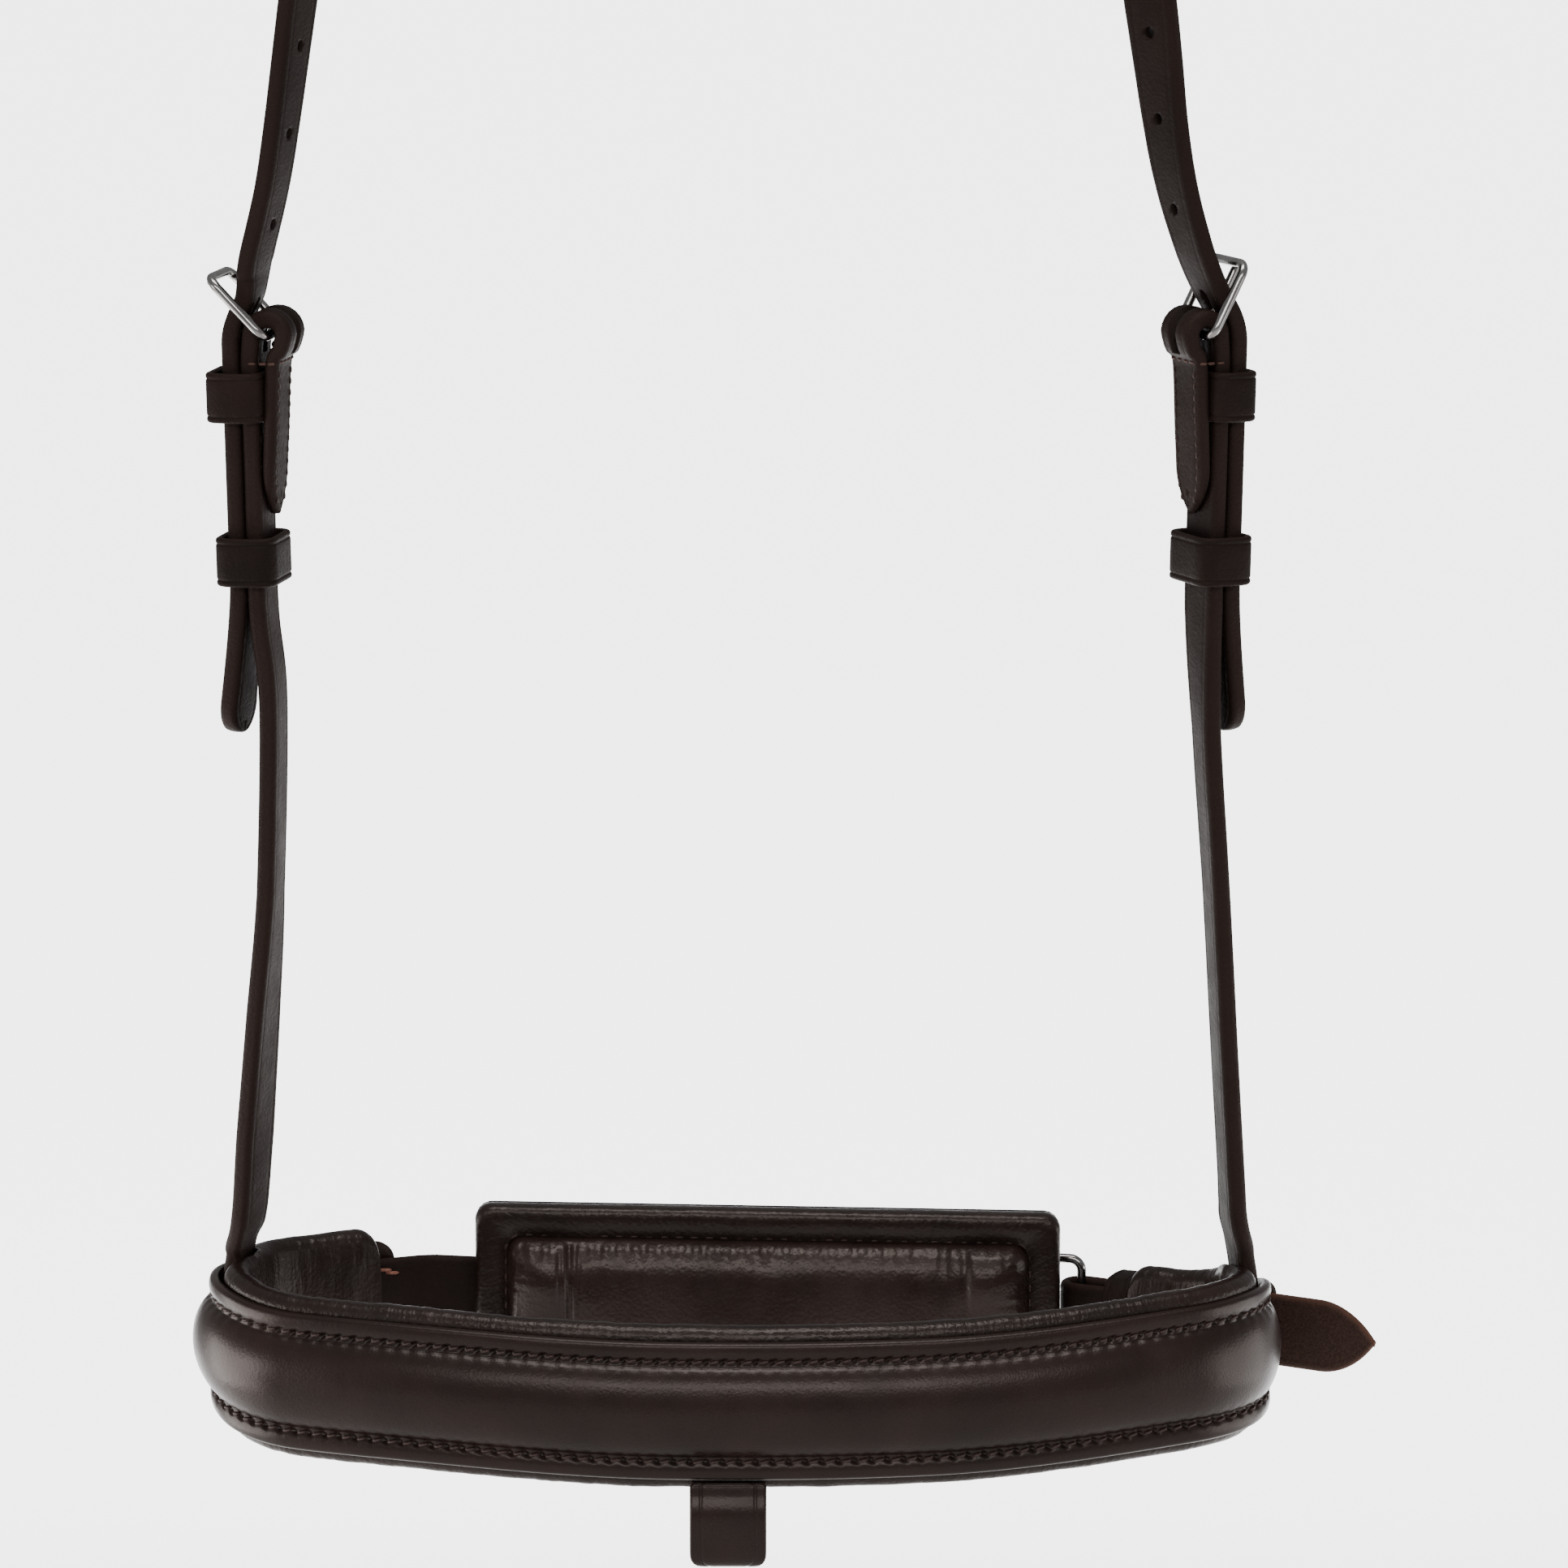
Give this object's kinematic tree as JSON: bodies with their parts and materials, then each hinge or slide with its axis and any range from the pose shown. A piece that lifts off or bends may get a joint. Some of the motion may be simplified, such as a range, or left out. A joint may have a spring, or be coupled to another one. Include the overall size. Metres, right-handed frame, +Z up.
{
  "type": "padded noseband with headpiece straps",
  "caption": "Padded leather bridle noseband on buckled cheek straps and a poll strap, with a sliding chin pad, ring-and-strap tightening and a flash loop.",
  "frame": {"origin": "middle of the flat underside of the poll strap's crown, where it rests on the poll", "axes": "+Z up along the hanging straps, +Y towards the throat (the noseband's front faces -Y), +X to the wearer's left"},
  "size_m": [0.3266, 0.1215, 0.5946],
  "materials": {
    "strap_leather": "smooth dark brown, soft sheen",
    "lining_leather": "soft grainy dark brown, matt",
    "foam": "plain padding, hidden",
    "bright_metal": "polished"
  },
  "bodies": {
    "head_straps": {"poll_strap": "strap_leather", "left_cheek_strap": "strap_leather", "right_cheek_strap": "strap_leather", "left_fixed_keeper": "strap_leather", "right_fixed_keeper": "strap_leather"},
    "left_buckle": {"left_buckle_frame": "bright_metal"},
    "left_tongue": {"left_buckle_tongue": "bright_metal"},
    "left_keeper": {"left_loose_keeper": "strap_leather"},
    "right_buckle": {"right_buckle_frame": "bright_metal"},
    "right_tongue": {"right_buckle_tongue": "bright_metal"},
    "right_keeper": {"right_loose_keeper": "strap_leather"},
    "noseband": {"noseband_outer": "strap_leather", "noseband_core": "foam", "noseband_foam": "foam", "noseband_lining": "lining_leather", "left_strap_tab": "strap_leather", "right_strap_tab": "strap_leather", "chin_strap": "strap_leather", "crank_strap": "strap_leather", "crank_chape": "strap_leather", "crank_fixed_keeper": "strap_leather"},
    "crank_ring": {"crank_ring": "bright_metal"},
    "crank_buckle": {"crank_buckle_frame": "bright_metal"},
    "crank_tongue": {"crank_buckle_tongue": "bright_metal"},
    "crank_keeper": {"crank_loose_keeper": "strap_leather"},
    "chin_pad": {"chin_pad_back": "strap_leather", "chin_pad_cover": "lining_leather", "chin_pad_foam": "foam", "chin_pad_left_loop": "strap_leather", "chin_pad_right_loop": "strap_leather"},
    "flash_loop": {"flash_loop": "strap_leather"}
  },
  "joints": [
    {"name": "left_buckle_hinge", "type": "hinge", "parent": "head_straps", "child": "left_buckle", "pos_m": [-0.125, 0, -0.264], "axis": [-0.225, -0.9744, 0], "range_deg": [-3, 3]},
    {"name": "left_tongue_hinge", "type": "hinge", "parent": "left_buckle", "child": "left_tongue", "pos_m": [-0.125, 0, -0.264], "axis": [-0.225, -0.9744, 0], "range_deg": [0, 2]},
    {"name": "left_keeper_slide", "type": "slide", "parent": "head_straps", "child": "left_keeper", "axis": [0.0221, -0.0051, -0.9997], "range_m": [-0.0045, 0.004]},
    {"name": "right_buckle_hinge", "type": "hinge", "parent": "head_straps", "child": "right_buckle", "pos_m": [0.1222, 0, -0.264], "axis": [-0.454, 0.891, 0], "range_deg": [-3, 3]},
    {"name": "right_tongue_hinge", "type": "hinge", "parent": "right_buckle", "child": "right_tongue", "pos_m": [0.1222, 0, -0.264], "axis": [-0.454, 0.891, 0], "range_deg": [0, 2]},
    {"name": "right_keeper_slide", "type": "slide", "parent": "head_straps", "child": "right_keeper", "axis": [-0.0202, -0.0103, -0.9997], "range_m": [-0.0045, 0.004]},
    {"name": "noseband_tilt", "type": "hinge", "parent": "head_straps", "child": "noseband", "pos_m": [0, 0.00624, -0.51775], "axis": [1, 0, 0], "range_deg": [-10, 10], "stiffness_Nm_per_rad": 2},
    {"name": "crank_ring_hinge", "type": "hinge", "parent": "noseband", "child": "crank_ring", "pos_m": [0.079, 0.05139, -0.5485], "axis": [0, 0, 1], "range_deg": [-3, 3]},
    {"name": "crank_buckle_hinge", "type": "hinge", "parent": "noseband", "child": "crank_buckle", "pos_m": [0.13023, 0.0359, -0.5485], "axis": [0, 0, -1], "range_deg": [-2, 2]},
    {"name": "crank_tongue_hinge", "type": "hinge", "parent": "crank_buckle", "child": "crank_tongue", "pos_m": [0.13023, 0.0359, -0.5485], "axis": [0, 0, -1], "range_deg": [0, 3]},
    {"name": "crank_keeper_slide", "type": "slide", "parent": "noseband", "child": "crank_keeper", "axis": [-0.8941, 0.4478, 0], "range_m": [0, 0.004]},
    {"name": "chin_pad_slide", "type": "slide", "parent": "noseband", "child": "chin_pad", "axis": [0.9989, 0, -0.0476], "range_m": [-0.01, 0]},
    {"name": "flash_loop_hinge", "type": "hinge", "parent": "noseband", "child": "flash_loop", "pos_m": [-0.003, -0.05941, -0.5681], "axis": [1, 0, 0], "range_deg": [-30, 20]}
  ]
}
